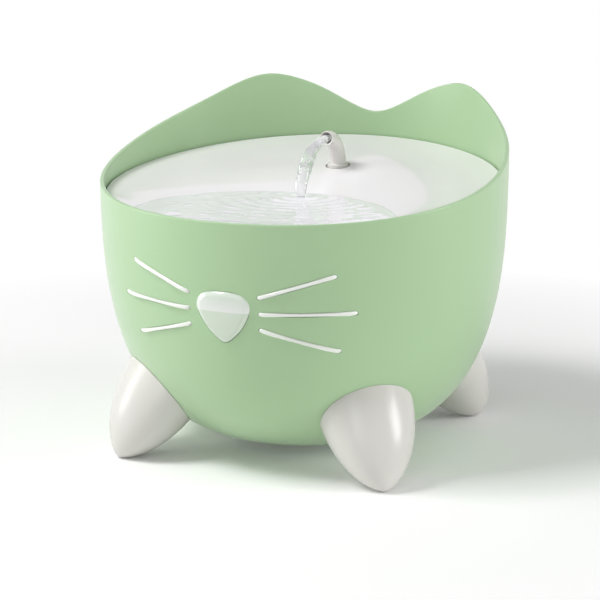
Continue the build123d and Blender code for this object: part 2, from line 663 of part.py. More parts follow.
# ---- cable grommet --------------------------------------------------------------------------
grommet_y = outlet_y - WALL - GROMMET_FLANGE_GAP - GROMMET_FLANGE_T
with BuildPart() as cable_grommet:
    with BuildSketch(upright_plane(grommet_y)):
        Circle(GROMMET_R - GROMMET_GAP)
        Circle(GROMMET_BORE_R, mode=Mode.SUBTRACT)
    extrude(amount=WALL + GROMMET_FLANGE_T)
    with BuildSketch(upright_plane(grommet_y)):
        Circle(GROMMET_R + GROMMET_FLANGE)
        Circle(GROMMET_BORE_R, mode=Mode.SUBTRACT)
    extrude(amount=GROMMET_FLANGE_T)
cable_grommet.part.label = "cable_grommet"
export_step(cable_grommet.part, "parts/cable_grommet.step")

# ---- drinking dish --------------------------------------------------------------------------
spout_z = dish_z(0, SPOUT_Y)
dish_block = dish_level(0, DISH_R, DISH_REST_Z)
dish_hollow = dish_level(DISH_T, DISH_R - DISH_T, DISH_REST_Z - DISH_T)
dish_upper = dish_level(DISH_T / 2, DISH_R, DISH_REST_Z)

with BuildPart() as dish_boss:
    with BuildSketch(riser_plane(DISH_BOSS_Z)):
        Circle(DISH_BOSS_BORE + DISH_BOSS_WALL)
    extrude(amount=spout_z - DISH_BOSS_Z + DISH_BOSS_WALL)
    add(dish_upper, mode=Mode.INTERSECT)

with BuildPart() as drinking_dish:
    add(dish_block)
    add(dish_hollow, mode=Mode.SUBTRACT)
    add(dish_boss.part)
    with BuildSketch(riser_plane(DISH_BOSS_Z)):
        Circle(DISH_BOSS_BORE)
    extrude(amount=2 * DISH_BOSS_BORE + spout_z - DISH_BOSS_Z, mode=Mode.SUBTRACT)
    with BuildSketch(Plane.XY.offset(DISH_REST_Z)):
        arc = RETURN_SLOT_STEP * (RETURN_SLOTS - 1)
        slot_r = POOL_FRONT_R + RETURN_SLOT[1]
        first = -90 - arc / 2
        with PolarLocations(slot_r, RETURN_SLOTS, first, arc, endpoint=True):
            SlotOverall(*RETURN_SLOT, rotation=90)
    extrude(amount=2 * (BANK_Z - DISH_REST_Z), mode=Mode.SUBTRACT)
    notch_h = 2 * (OUTLET + OUTLET_NOTCH[1])
    with Locations((0, DISH_R, DISH_REST_Z)):
        Box(OUTLET_NOTCH[0], 6 * DISH_T, notch_h, mode=Mode.SUBTRACT)
drinking_dish.part.label = "drinking_dish"
export_step(drinking_dish.part, "parts/drinking_dish.step")

# ---- spout, its collar and its seal ---------------------------------------------------------
spout_section = Plane((0, SPOUT_Y, 0), x_dir=(1, 0, 0), z_dir=(0, -1, 0))
spout_axis = Axis((0, SPOUT_Y, 0), (0, 0, 1))
nipple_z = RISER_TOP_Z - NIPPLE_L
lip_r = DISH_BOSS_BORE + COLLAR_LIP
lip_top = COLLAR_LIP_Z + COLLAR_LIP_T
bearing_r = DISH_BOSS_BORE - RUNNING_GAP
shoulder_z = DISH_REST_Z + COLLAR_SHOULDER
ring_top = DISH_REST_Z + COLLAR_TOP
with BuildPart() as spout_collar:
    with BuildSketch(spout_section):
        with BuildLine():
            Polyline(
                (SPOUT_BORE_R, nipple_z), (NIPPLE_R, nipple_z), (NIPPLE_R, COLLAR_LIP_Z),
                (lip_r, COLLAR_LIP_Z), (lip_r, lip_top), (bearing_r, lip_top),
                (bearing_r, shoulder_z), (COLLAR_RING_R, shoulder_z), (COLLAR_RING_R, ring_top),
                (COLLAR_BORE_R, ring_top), (COLLAR_BORE_R, SPOUT_FOOT_Z),
                (SPOUT_BORE_R, SPOUT_FOOT_Z), close=True,
            )
        make_face()
    revolve(axis=spout_axis)
    ring_edges = spout_collar.edges().group_by(Axis.Z)[-1]
    fillet(ring_edges.sort_by(SortBy.RADIUS)[-1], radius=COLLAR_ROUND)
spout_collar.part.label = "spout_collar"
export_step(spout_collar.part, "parts/spout_collar.step")

with BuildPart() as spout_o_ring:
    with BuildSketch(spout_section):
        with Locations((SPOUT_R - O_RING_R + RUNNING_GAP / 2, O_RING_Z)):
            Circle(O_RING_R)
    revolve(axis=spout_axis)
spout_o_ring.part.label = "spout_o_ring"
export_step(spout_o_ring.part, "parts/spout_o_ring.step")

groove_r = SPOUT_R - 2 * O_RING_R
with BuildPart() as spout:
    with BuildSketch(riser_plane(SPOUT_FOOT_Z)):
        Circle(SPOUT_R)
    extrude(amount=SPOUT_BEND_Z - SPOUT_FOOT_Z)
    for i in range(SPOUT_STEPS + 1):
        with BuildSketch(bend_plane(90 * i / SPOUT_STEPS)):
            Circle(SPOUT_R - (SPOUT_R - SPOUT_MOUTH_R) * (i / SPOUT_STEPS) ** 2)
    loft()
    with BuildSketch(riser_plane(O_RING_Z - O_RING_R - RUNNING_GAP)):
        Circle(COLLAR_RING_R)
        Circle(groove_r, mode=Mode.SUBTRACT)
    extrude(amount=2 * (O_RING_R + RUNNING_GAP), mode=Mode.SUBTRACT)
    with BuildLine() as water_path:
        Line((0, SPOUT_Y, SPOUT_FOOT_Z), (0, SPOUT_Y, SPOUT_BEND_Z))
        ThreePointArc(bend_plane(0).origin, bend_plane(45).origin, bend_plane(90).origin)
    with BuildSketch(riser_plane(SPOUT_FOOT_Z)):
        Circle(SPOUT_BORE_R)
    sweep(mode=Mode.SUBTRACT)
    fillet(spout.faces().sort_by(Axis.Y)[0].edges(), radius=SPOUT_MOUTH_ROUND)
spout.part.label = "spout"
export_step(spout.part, "parts/spout.step")

riser_foot_z = PUMP_TOP_Z + RISER_FOOT
with BuildPart() as riser_tube:
    with BuildSketch(riser_plane(riser_foot_z)):
        Circle(RISER_R)
        Circle(RISER_BORE_R, mode=Mode.SUBTRACT)
    extrude(amount=RISER_TOP_Z - riser_foot_z)
riser_tube.part.label = "riser_tube"
export_step(riser_tube.part, "parts/riser_tube.step")

# ---- filter housing and filter --------------------------------------------------------------
lip_inset = HOUSING_WALL + FIT_GAP
filter_inset = HOUSING_WALL + 2 * FIT_GAP
foam_z = HOUSING_TOP_Z + HOUSING_WALL
carbon_z = foam_z + FOAM_T

with BuildPart() as filter_housing:
    with BuildSketch(housing_plane(HOUSING_Z)):
        housing_outline(0)
    extrude(amount=HOUSING_TOP_Z - HOUSING_Z)
    with BuildSketch(housing_plane(HOUSING_Z + HOUSING_WALL)):
        housing_outline(HOUSING_WALL)
    extrude(amount=HOUSING_TOP_Z - HOUSING_Z, mode=Mode.SUBTRACT)
    with Locations((0, HOUSING_Y - HOUSING_L / 2, HOUSING_TOP_Z - TRAY_H / 2)):
        Box(2 * GLAND_R, 4 * HOUSING_WALL, TRAY_H, mode=Mode.SUBTRACT)
filter_housing.part.label = "filter_housing"
export_step(filter_housing.part, "parts/filter_housing.step")

with BuildPart() as filter_tray:
    with BuildSketch(housing_plane(HOUSING_TOP_Z)):
        housing_outline(0)
    extrude(amount=TRAY_H)
    with BuildSketch(housing_plane(foam_z)):
        housing_outline(HOUSING_WALL)
    extrude(amount=TRAY_H, mode=Mode.SUBTRACT)
    with BuildSketch(housing_plane(HOUSING_TOP_Z - LIP_H)):
        housing_outline(lip_inset)
        housing_outline(lip_inset + LIP_T, mode=Mode.SUBTRACT)
    extrude(amount=LIP_H)
    with BuildSketch(riser_plane(HOUSING_TOP_Z)):
        Circle(SLEEVE_R)
    extrude(amount=TRAY_H)
    with BuildSketch(housing_plane(HOUSING_TOP_Z)):
        grille()
    extrude(amount=HOUSING_WALL, mode=Mode.SUBTRACT)
    with BuildSketch(riser_plane(HOUSING_TOP_Z)):
        Circle(SLEEVE_BORE_R)
    extrude(amount=TRAY_H, mode=Mode.SUBTRACT)
filter_tray.part.label = "filter_tray"
export_step(filter_tray.part, "parts/filter_tray.step")


def filter_layer(z, thickness):
    """A flat layer of filter medium that fills the tray, with a hole for the riser's sleeve."""
    with BuildPart() as layer:
        with BuildSketch(housing_plane(z)):
            housing_outline(filter_inset)
        extrude(amount=thickness)
        with BuildSketch(riser_plane(z)):
            Circle(SLEEVE_R + FIT_GAP)
        extrude(amount=thickness, mode=Mode.SUBTRACT)
    return layer.part


filter_foam = filter_layer(foam_z, FOAM_T)
filter_foam.label = "filter_foam"
export_step(filter_foam, "parts/filter_foam.step")
filter_carbon = filter_layer(carbon_z, CARBON_T)
filter_carbon.label = "filter_carbon"
export_step(filter_carbon, "parts/filter_carbon.step")

with BuildPart() as filter_lid:
    with BuildSketch(housing_plane(TRAY_TOP_Z)):
        housing_outline(0)
    extrude(amount=LID_T)
    with BuildSketch(housing_plane(TRAY_TOP_Z)):
        grille()
    extrude(amount=LID_T, mode=Mode.SUBTRACT)
    with BuildSketch(riser_plane(TRAY_TOP_Z)):
        Circle(SLEEVE_BORE_R)
    extrude(amount=LID_T, mode=Mode.SUBTRACT)
filter_lid.part.label = "filter_lid"
export_step(filter_lid.part, "parts/filter_lid.step")

# ---- pump -----------------------------------------------------------------------------------
block_y = (PUMP_BACK_Y + PUMP_FRONT_Y) / 2
pocket_w = PUMP_W - 2 * PUMP_WALL
pocket_l = PUMP_L - 2 * PUMP_WALL
well_r = WELL_R + WELL_WALL
bush_y = WELL_FRONT_Y - BUSH_L
volute_end_y = PUMP_BACK_Y + VOLUTE_L
volute_floor_y = volute_end_y - VOLUTE_WALL
hub_end_y = volute_end_y + VOLUTE_HUB_L
gland_end_y = PUMP_FRONT_Y + PUMP_WALL

with BuildPart() as pump_body:
    with BuildSketch(Plane((0, block_y, PUMP_Z))):
        RectangleRounded(PUMP_W, PUMP_L, PUMP_ROUND)
    extrude(amount=PUMP_H)
    fillet(pump_body.faces().sort_by(Axis.Z)[-1].edges(), radius=PUMP_WALL)
    with BuildSketch(Plane((0, block_y, PUMP_Z))):
        RectangleRounded(pocket_w, pocket_l, PUMP_ROUND - PUMP_WALL)
    extrude(amount=PUMP_H - PUMP_WALL, mode=Mode.SUBTRACT)
    add(round_y(well_r, bush_y - WELL_WALL, PUMP_BACK_Y - PUMP_WALL / 2))
    add(round_y(WELL_R, WELL_FRONT_Y, PUMP_BACK_Y), mode=Mode.SUBTRACT)
    add(round_y(BUSH_R, bush_y, WELL_FRONT_Y), mode=Mode.SUBTRACT)
    gland_hole = round_y(GLAND_R, PUMP_FRONT_Y, gland_end_y)
    add(Pos(0, 0, GLAND_RISE) * gland_hole, mode=Mode.SUBTRACT)
pump_body.part.label = "pump_body"
export_step(pump_body.part, "parts/pump_body.step")

with BuildPart() as pump_cover:
    with BuildSketch(Plane((0, block_y, PUMP_Z))):
        RectangleRounded(pocket_w - 2 * GLUE_FILM, pocket_l - 2 * GLUE_FILM, PUMP_ROUND - PUMP_WALL)
    extrude(amount=PUMP_WALL)
pump_cover.part.label = "pump_cover"
export_step(pump_cover.part, "parts/pump_cover.step")

with BuildPart() as cable_gland:
    add(round_y(GLAND_R - GLUE_FILM, gland_end_y - GLAND_L, gland_end_y))
    add(round_y(GLAND_BORE_R, gland_end_y - GLAND_L, gland_end_y), mode=Mode.SUBTRACT)
gland = Pos(0, 0, GLAND_RISE) * cable_gland.part
gland.label = "cable_gland"
export_step(gland, "parts/cable_gland.step")

with BuildPart() as impeller_housing:
    add(round_y(VOLUTE_R, PUMP_BACK_Y, volute_end_y))
    with BuildSketch(riser_plane(PUMP_AXIS_Z)):
        Circle(NOZZLE_R)
    extrude(amount=NOZZLE_TOP_Z - PUMP_AXIS_Z)
    add(round_y(VOLUTE_HUB_R, volute_end_y, hub_end_y))
    add(round_y(VOLUTE_LIP_R, hub_end_y - VOLUTE_LIP_T, hub_end_y))
    add(round_y(VOLUTE_BORE_R, PUMP_BACK_Y, volute_floor_y), mode=Mode.SUBTRACT)
    add(round_y(BUSH_R, volute_floor_y, volute_floor_y + BUSH_L), mode=Mode.SUBTRACT)
    with BuildSketch(riser_plane(PUMP_AXIS_Z + VOLUTE_BORE_R / 2)):
        Circle(NOZZLE_R - NOZZLE_WALL)
    extrude(amount=NOZZLE_TOP_Z, mode=Mode.SUBTRACT)
    with BuildSketch(rotor_plane(volute_floor_y)):
        with PolarLocations(INLET_R, INLET_HOLES, start_angle=90):
            Circle(INLET_HOLE_R)
    extrude(amount=VOLUTE_WALL, mode=Mode.SUBTRACT)
impeller_housing.part.label = "impeller_housing"
export_step(impeller_housing.part, "parts/impeller_housing.step")

regulator_y = volute_end_y + FIT_GAP
with BuildPart() as flow_regulator:
    with BuildSketch(rotor_plane(regulator_y)):
        Circle(REGULATOR_R)
        with Locations((0, -REGULATOR_R)):
            SlotOverall(2 * REGULATOR_TAB[1] + REGULATOR_TAB[0] / 2, REGULATOR_TAB[0], rotation=90)
        Circle(VOLUTE_HUB_R + RUNNING_GAP, mode=Mode.SUBTRACT)
        with PolarLocations(INLET_R, INLET_HOLES, start_angle=90):
            Circle(INLET_HOLE_R, mode=Mode.SUBTRACT)
    extrude(amount=REGULATOR_T)
flow_regulator.part.label = "flow_regulator"
export_step(flow_regulator.part, "parts/flow_regulator.step")

rotor_bore_r = SHAFT_R + RUNNING_GAP
with BuildPart() as rotor_magnet:
    add(round_y(MAGNET_R, WELL_FRONT_Y + WELL_END_GAP, PUMP_BACK_Y - FIT_GAP))
    add(round_y(rotor_bore_r, WELL_FRONT_Y, PUMP_BACK_Y), mode=Mode.SUBTRACT)
rotor_magnet.part.label = "rotor_magnet"
export_step(rotor_magnet.part, "parts/rotor_magnet.step")

hub_front_y = PUMP_BACK_Y - FIT_GAP
hub_back_y = volute_floor_y - WELL_END_GAP
blade_y = PUMP_BACK_Y + WELL_END_GAP
with BuildPart() as impeller:
    add(round_y(HUB_R, hub_front_y, hub_back_y))
    with BuildSketch(rotor_plane(blade_y)):
        with PolarLocations((BLADE_R + HUB_R / 2) / 2, BLADES):
            Rectangle(BLADE_R - HUB_R / 2, BLADE_T)
    extrude(amount=hub_back_y - WELL_END_GAP - blade_y)
    add(round_y(rotor_bore_r, hub_front_y, hub_back_y), mode=Mode.SUBTRACT)
impeller.part.label = "impeller"
export_step(impeller.part, "parts/impeller.step")

shaft_front_y = bush_y + BUSH_FLOOR
shaft_back_y = volute_floor_y + BUSH_L - BUSH_FLOOR
impeller_shaft = round_y(SHAFT_R, shaft_front_y, shaft_back_y)
impeller_shaft.label = "impeller_shaft"
export_step(impeller_shaft, "parts/impeller_shaft.step")

front_bush = round_y(BUSH_R - GLUE_FILM / 2, bush_y, WELL_FRONT_Y)
back_bush = round_y(BUSH_R - GLUE_FILM / 2, volute_floor_y, volute_floor_y + BUSH_L)
with BuildPart() as shaft_bushes:
    add(front_bush)
    add(back_bush)
    add(impeller_shaft, mode=Mode.SUBTRACT)
shaft_bushes.part.label = "shaft_bushes"
export_step(shaft_bushes.part, "parts/shaft_bushes.step")

leg_x = well_r + COIL_GAP
core_y = PUMP_BACK_Y - CORE_BACK_GAP - CORE_L / 2
with BuildPart() as stator_core:
    with BuildSketch(Plane.XY.offset(PUMP_AXIS_Z - CORE_H / 2)):
        with Locations((0, core_y)):
            Rectangle(2 * (leg_x + CORE_LEG), CORE_L)
        with Locations((0, core_y + CORE_LEG)):
            Rectangle(2 * leg_x, CORE_L, mode=Mode.SUBTRACT)
    extrude(amount=CORE_H)
stator_core.part.label = "stator_core"
export_step(stator_core.part, "parts/stator_core.step")

bridge_y = core_y - CORE_L / 2 + CORE_LEG / 2
coil_l = 2 * (leg_x - COIL_GAP)
with BuildPart() as stator_coil:
    with BuildSketch(Plane((-coil_l / 2, bridge_y, PUMP_AXIS_Z), x_dir=(0, 1, 0), z_dir=(1, 0, 0))):
        RectangleRounded(CORE_LEG + 2 * COIL_T, CORE_H + 2 * COIL_T, COIL_ROUND)
        Rectangle(CORE_LEG + 2 * COIL_GAP, CORE_H + 2 * COIL_GAP, mode=Mode.SUBTRACT)
    extrude(amount=coil_l)
stator_coil.part.label = "stator_coil"
export_step(stator_coil.part, "parts/stator_coil.step")

with BuildPart() as pump_feet:
    with BuildSketch(Plane((0, block_y, PUMP_Z - PUMP_FOOT_H))):
        with GridLocations(pocket_w - 2 * PUMP_FOOT_IN[0], pocket_l - 2 * PUMP_FOOT_IN[1], 2, 2):
            Circle(PUMP_FOOT_R)
    extrude(amount=PUMP_FOOT_H, taper=PUMP_FOOT_TAPER)
pump_feet.part.label = "pump_feet"
export_step(pump_feet.part, "parts/pump_feet.step")
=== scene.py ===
import bpy
import math
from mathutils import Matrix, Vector


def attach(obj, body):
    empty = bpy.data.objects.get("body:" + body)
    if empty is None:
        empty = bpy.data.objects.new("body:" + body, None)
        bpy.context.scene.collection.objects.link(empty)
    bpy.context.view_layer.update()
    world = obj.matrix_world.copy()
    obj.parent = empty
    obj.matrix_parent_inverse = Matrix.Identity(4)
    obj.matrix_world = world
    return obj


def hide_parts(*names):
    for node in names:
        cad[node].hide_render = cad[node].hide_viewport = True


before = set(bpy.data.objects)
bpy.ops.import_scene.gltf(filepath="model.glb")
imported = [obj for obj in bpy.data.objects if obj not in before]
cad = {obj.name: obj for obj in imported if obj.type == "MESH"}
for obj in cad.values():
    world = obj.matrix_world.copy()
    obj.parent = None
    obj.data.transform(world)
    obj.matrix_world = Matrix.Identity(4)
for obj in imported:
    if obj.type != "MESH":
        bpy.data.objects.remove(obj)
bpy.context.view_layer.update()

# ---- studio ---------------------------------------------------------------------------------
# A white floor in a white room. The main lamp hangs above to the left, so the shadow falls to the
# right. A lamp on each side glances off the bowl's flanks, and a weak one in front lights the face.
CAMERA_PLACE = (0.4497, -1.0948, 0.3693)
CAMERA_TILT = 76.42       # degrees from straight down
CAMERA_TURN = 22.45       # degrees to the left of straight back
CAMERA_LENS = 123.1       # on a sensor 36 mm wide
AIM = (0.0, 0.0, 0.10)    # the lamps point here
FLOOR_SIZE = 12.0
FLOOR_NEAR = 0.22         # within this distance of the bowl's axis the floor is plain paper
FLOOR_FAR = 0.48          # and beyond this one it is as white as the room
FLOOR_LIFT = 0.06         # the camera sees the paper this much brighter
ROOM_LIGHT = 0.33         # strength of the light that the room itself gives, where 1 is white


def hex_colour(code):
    """Linear RGBA of an sRGB colour written as six hex digits."""
    parts = [int(code[i:i + 2], 16) / 255 for i in (0, 2, 4)]
    return (*[c / 12.92 if c <= 0.04045 else ((c + 0.055) / 1.055) ** 2.4 for c in parts], 1.0)


def add_node(tree, kind, inputs=None, **settings):
    """One node with its settings. Each input is a value, or the socket that feeds it."""
    made = tree.nodes.new(kind)
    for name, value in settings.items():
        setattr(made, name, value)
    for name, value in (inputs or {}).items():
        if isinstance(value, bpy.types.NodeSocket):
            tree.links.new(value, made.inputs[name])
        else:
            made.inputs[name].default_value = value
    return made


def maths(tree, operation, *values):
    """The outcome of one step of arithmetic in a tree."""
    return add_node(tree, "ShaderNodeMath", dict(enumerate(values)), operation=operation).outputs[0]


def new_material(name):
    """An empty material, and its tree."""
    material = bpy.data.materials.new(name)
    material.use_nodes = True
    material.node_tree.nodes.clear()
    return material, material.node_tree


def end_material(tree, shader):
    """Links a shader to the material's surface."""
    add_node(tree, "ShaderNodeOutputMaterial", {"Surface": shader.outputs[0]})


def sees_white(tree):
    """1 for the rays of the camera and of mirror images, and 0 for all others. A sharp refracted ray
    counts as glossy too, so the transmitted ones are taken off again."""
    path = add_node(tree, "ShaderNodeLightPath").outputs
    mirrored = maths(tree, "SUBTRACT", path["Is Glossy Ray"], path["Is Transmission Ray"])
    return maths(tree, "MAXIMUM", path["Is Camera Ray"], mirrored)


def soft_lamp(name, place, width, height, power):
    """An area lamp that points at the object."""
    lamp = bpy.data.lights.new(name, "AREA")
    lamp.shape = "RECTANGLE"
    lamp.size = width
    lamp.size_y = height
    lamp.energy = power
    lamp_object = bpy.data.objects.new(name, lamp)
    lamp_object.location = place
    lamp_object.rotation_euler = (Vector(place) - Vector(AIM)).to_track_quat("Z", "Y").to_euler()
    bpy.context.scene.collection.objects.link(lamp_object)


camera = bpy.data.objects.new("camera", bpy.data.cameras.new("camera"))
camera.location = CAMERA_PLACE
camera.rotation_euler = (math.radians(CAMERA_TILT), 0, math.radians(CAMERA_TURN))
camera.data.lens = CAMERA_LENS
bpy.context.scene.collection.objects.link(camera)
bpy.context.scene.camera = camera
bpy.context.scene.view_settings.view_transform = "Standard"

soft_lamp("lamp_above", place=(-0.62, -0.58, 1.25), width=0.5, height=0.5, power=12)
soft_lamp("lamp_front", place=(0.1, -1.35, 0.5), width=0.5, height=0.6, power=1.8)
soft_lamp("lamp_left", place=(-1.4, -0.5, 0.4), width=0.6, height=0.8, power=7.2)
soft_lamp("lamp_right", place=(1.35, 0.1, 0.42), width=0.5, height=0.6, power=9.2)

world = bpy.data.worlds.new("white_room")
bpy.context.scene.world = world
world.use_nodes = True
world.node_tree.nodes.clear()
glow = add_node(world.node_tree, "ShaderNodeMapRange", {
    "Value": sees_white(world.node_tree), "To Min": ROOM_LIGHT, "To Max": 1.0})
room = add_node(world.node_tree, "ShaderNodeBackground", {"Strength": glow.outputs[0]})
add_node(world.node_tree, "ShaderNodeOutputWorld", {"Surface": room.outputs[0]})

floor_mesh = bpy.data.meshes.new("floor")
half = FLOOR_SIZE / 2
floor_mesh.from_pydata([(-half, -half, 0), (half, -half, 0), (half, half, 0), (-half, half, 0)], [],
                       [(0, 1, 2, 3)])
floor = bpy.data.objects.new("floor", floor_mesh)
bpy.context.scene.collection.objects.link(floor)
# White paper. Seen by the camera it turns to the room's white further away, so no horizon shows
floor_paint, tree = new_material("white_paper")
matte = add_node(tree, "ShaderNodeBsdfDiffuse", {"Color": hex_colour("FBFBFB")})
place = add_node(tree, "ShaderNodeTexCoord").outputs["Object"]
away = add_node(tree, "ShaderNodeVectorMath", {0: place}, operation="LENGTH").outputs["Value"]
far = add_node(tree, "ShaderNodeMapRange", {
    "Value": away, "From Min": FLOOR_NEAR, "From Max": FLOOR_FAR, "To Min": 0.0, "To Max": 1.0})
far_seen = maths(tree, "MULTIPLY", far.outputs["Result"], sees_white(tree))
white = add_node(tree, "ShaderNodeEmission", {"Strength": 1.0})
by_camera = add_node(tree, "ShaderNodeLightPath").outputs["Is Camera Ray"]
lift = add_node(tree, "ShaderNodeEmission", {"Strength": maths(tree, "MULTIPLY", by_camera, FLOOR_LIFT)})
near = add_node(tree, "ShaderNodeAddShader", {0: matte.outputs[0], 1: lift.outputs[0]})
paper = add_node(tree, "ShaderNodeMixShader", {
    "Fac": far_seen, 1: near.outputs[0], 2: white.outputs[0]})
end_material(tree, paper)
floor_mesh.materials.append(floor_paint)


# ---- bowl -----------------------------------------------------------------------------------
# The tank: one injection moulding in pastel green polypropylene with a fine satin texture, 2.5 mm
# thick. Its rim rises into the two ears. The CAD solid is the finished shape, and gets its look here.
CLOUDS_PER_METRE = 14.0   # of the slight unevenness in a moulding's colour and gloss
CLOUD_SHADE = 0.985       # its darker places are this much of the colour
CLOUD_GLOSS = 0.02        # and the roughness goes up and down by this much
GRAIN_STRENGTH = 0.6      # of the mould's grain, where 1 is its full depth
MOULDED_IOR = 1.5


def moulded(name, colour, roughness, grain=0.0004, depth=0.00001, **extra):
    """Moulded plastic, rubber or ceramic: a fine grain from the mould, and a slight cloudiness in
    the colour. The grain's size and depth are in metres."""
    material, tree = new_material(name)
    place = add_node(tree, "ShaderNodeTexCoord").outputs["Object"]
    cloud = add_node(tree, "ShaderNodeTexNoise", {
        "Vector": place, "Scale": CLOUDS_PER_METRE, "Detail": 2.0})
    base = hex_colour(colour)
    darker = (*[c * CLOUD_SHADE for c in base[:3]], 1.0)
    tint = add_node(tree, "ShaderNodeMix", {
        "Factor": cloud.outputs["Fac"], "A": darker, "B": base}, data_type="RGBA")
    sheen = add_node(tree, "ShaderNodeMapRange", {
        "Value": cloud.outputs["Fac"], "To Min": roughness - CLOUD_GLOSS,
        "To Max": roughness + CLOUD_GLOSS})
    grit = add_node(tree, "ShaderNodeTexNoise", {"Vector": place, "Scale": 1 / grain, "Detail": 1.0})
    relief = add_node(tree, "ShaderNodeBump", {
        "Height": grit.outputs["Fac"], "Strength": GRAIN_STRENGTH, "Distance": depth})
    shader = add_node(tree, "ShaderNodeBsdfPrincipled", {
        "Base Color": tint.outputs["Result"], "Roughness": sheen.outputs["Result"],
        "Normal": relief.outputs["Normal"], "IOR": MOULDED_IOR, **extra})
    end_material(tree, shader)
    return material


def finish(material, *names):
    """Gives CAD nodes a material."""
    for name in names:
        cad[name].data.materials.clear()
        cad[name].data.materials.append(material)


# Polypropylene with a mould texture: satin, so the lamps show as broad soft lights and not as mirror images
green_pp = moulded("green_polypropylene_satin", "A9C99D", 0.31, **{"Sheen Weight": 0.25})
finish(green_pp, "outer_bowl")


# ---- feet -----------------------------------------------------------------------------------
# Four hollow white feet, moulded in ABS, pushed on pegs under the bowl and glued. Each stands on a
# small rubber pad that is let into its tip.

# Polished ABS: each foot shows one soft bright light
white_abs = moulded("white_abs_polished", "D9D7D2", 0.26, depth=0.000004)
# Silicone rubber is matt and slightly rough from its mould, so it shows no highlight
pad_rubber = moulded("pale_silicone_rubber", "B9BABA", 0.65, grain=0.0003, depth=0.00003)
corners = ("front_left", "front_right", "back_left", "back_right")
finish(white_abs, *[f"foot_{corner}" for corner in corners])
finish(pad_rubber, *[f"foot_pad_{corner}" for corner in corners])


# ---- windows in the face --------------------------------------------------------------------
# A clear lens as the nose and six clear bars as whiskers, moulded in polycarbonate and glued in
# from inside. Their outer faces are domed and stand a little out of the wall.
BOWL_R = 0.120            # the wall's outer curve, with the CAD model's own numbers
BELLY_TOP_Z = 0.2277
BOWL_BASE_Z = 0.0057
BELLY_SHAPE = 3.514
BELLY_ROUND = 2.988
BOWL_LEAN = 0.036
LEAN_Z = 0.150
WALL = 0.0025
PLUG_GAP = 0.00015        # round each insert, in its opening
GLUE_FILM = 0.0001        # between a flange and what it is glued to
SEAL_T = 0.0008           # seal between the lens's flange and the wall
FLANGE_T = 0.0012
FLANGE_BACK = (0.66, 0.33)         # rings of the flange's back, as shares from the middle
NOSE_TOP_Z = 0.1145
NOSE_TIP_Z = 0.0846
NOSE_SHOULDER = (0.0175, 0.0034)   # corner of the nose, out and below its top
NOSE_CHEEK = (0.0121, 0.0109)      # place on its side, out and above its tip
NOSE_TIP_SHARP = 0.0008   # the tip would be this much lower without its rounding
NOSE_CORNER_ROUND = 0.0098
NOSE_TIP_ROUND = 0.0052
NOSE_HALF_W = 0.0162
NOSE_FLANGE = 0.0026      # how far the flange reaches past the opening
NOSE_TOP_STEPS = 18       # points along each stretch of the nose's outline
NOSE_SIDE_STEPS = 30
NOSE_CORNER_STEPS = 14
NOSE_TIP_STEPS = 10
# Rings of each dome: distance from its middle as a share, and how far it stands out of the wall
NOSE_DOME = ((0.3, 0.0017), (0.55, 0.00165), (0.74, 0.0016), (0.83, 0.00153),
             (0.845, 0.00145), (0.86, 0.0013), (0.96, 0.0005), (0.98, 0.0002), (0.99, -0.0002))
WHISKER_W = 0.0026
WHISKER_ROOT_X = 0.0199
WHISKER_FLANGE = 0.0016
WHISKER_DOME = ((0.45, 0.00135), (0.72, 0.00115), (0.9, 0.00065), (0.99, 0.0001))
TANK_LEVEL = 0.1030       # the water stands this high in the tank
WATER_LINE = 0.0004       # half of the width of the painted line that it makes on the windows
PAINTED_GLOW_HEIGHT = 0.0075       # the painted glow on the windows, for the light that the water's surface throws up, fades over this height
POLYCARBONATE_IOR = 1.58
CLEAR_ROUGHNESS = 0.14    # bright polish in front and frosted back taken together
FLOWS_PER_METRE = 120.0   # of the slight waviness that the mould leaves in the clear plastic
FLOW_DEPTH = 0.0001
FLOW_STRENGTH = 0.3
SLOPE_STEP = 0.00001      # for measuring the wall's slope
WHISKERS = {              # root height, the tip's distance from the middle, and tip height
    "top": (0.1117, 0.0607, 0.1247),
    "middle": (0.1027, 0.0698, 0.1034),
    "bottom": (0.0940, 0.0608, 0.0813),
}


def skin_radius(z):
    """Radius of the bowl's outer surface at height z."""
    t = (BELLY_TOP_Z - z) / (BELLY_TOP_Z - BOWL_BASE_Z)
    return BOWL_R * (1 - t**BELLY_SHAPE) ** (1 / BELLY_ROUND) - BOWL_LEAN * (z - LEAN_Z)


def on_wall(x, z, stand):
    """Point of the front wall that lies at x and z, moved out of it by `stand`."""
    slope = (skin_radius(z + SLOPE_STEP) - skin_radius(z)) / SLOPE_STEP
    length = math.hypot(1, slope)
    radius = skin_radius(z) + stand / length
    return Vector((x, -math.sqrt(radius * radius - x * x), z - stand * slope / length))


def circle_through(a, b, c, count):
    """Points on the arc from a through b to c."""
    bx, by = b[0] - a[0], b[1] - a[1]
    cx, cy = c[0] - a[0], c[1] - a[1]
    b_square, c_square = bx * bx + by * by, cx * cx + cy * cy
    cross = 2 * (bx * cy - by * cx)
    middle = ((cy * b_square - by * c_square) / cross, (bx * c_square - cx * b_square) / cross)
    radius = math.hypot(*middle)
    start = math.atan2(-middle[1], -middle[0])
    turn = math.remainder(math.atan2(cy - middle[1], cx - middle[0]) - start, 2 * math.pi)
    angles = [start + turn * i / count for i in range(count + 1)]
    return [(a[0] + middle[0] + radius * math.cos(angle), a[1] + middle[1] + radius * math.sin(angle))
            for angle in angles]


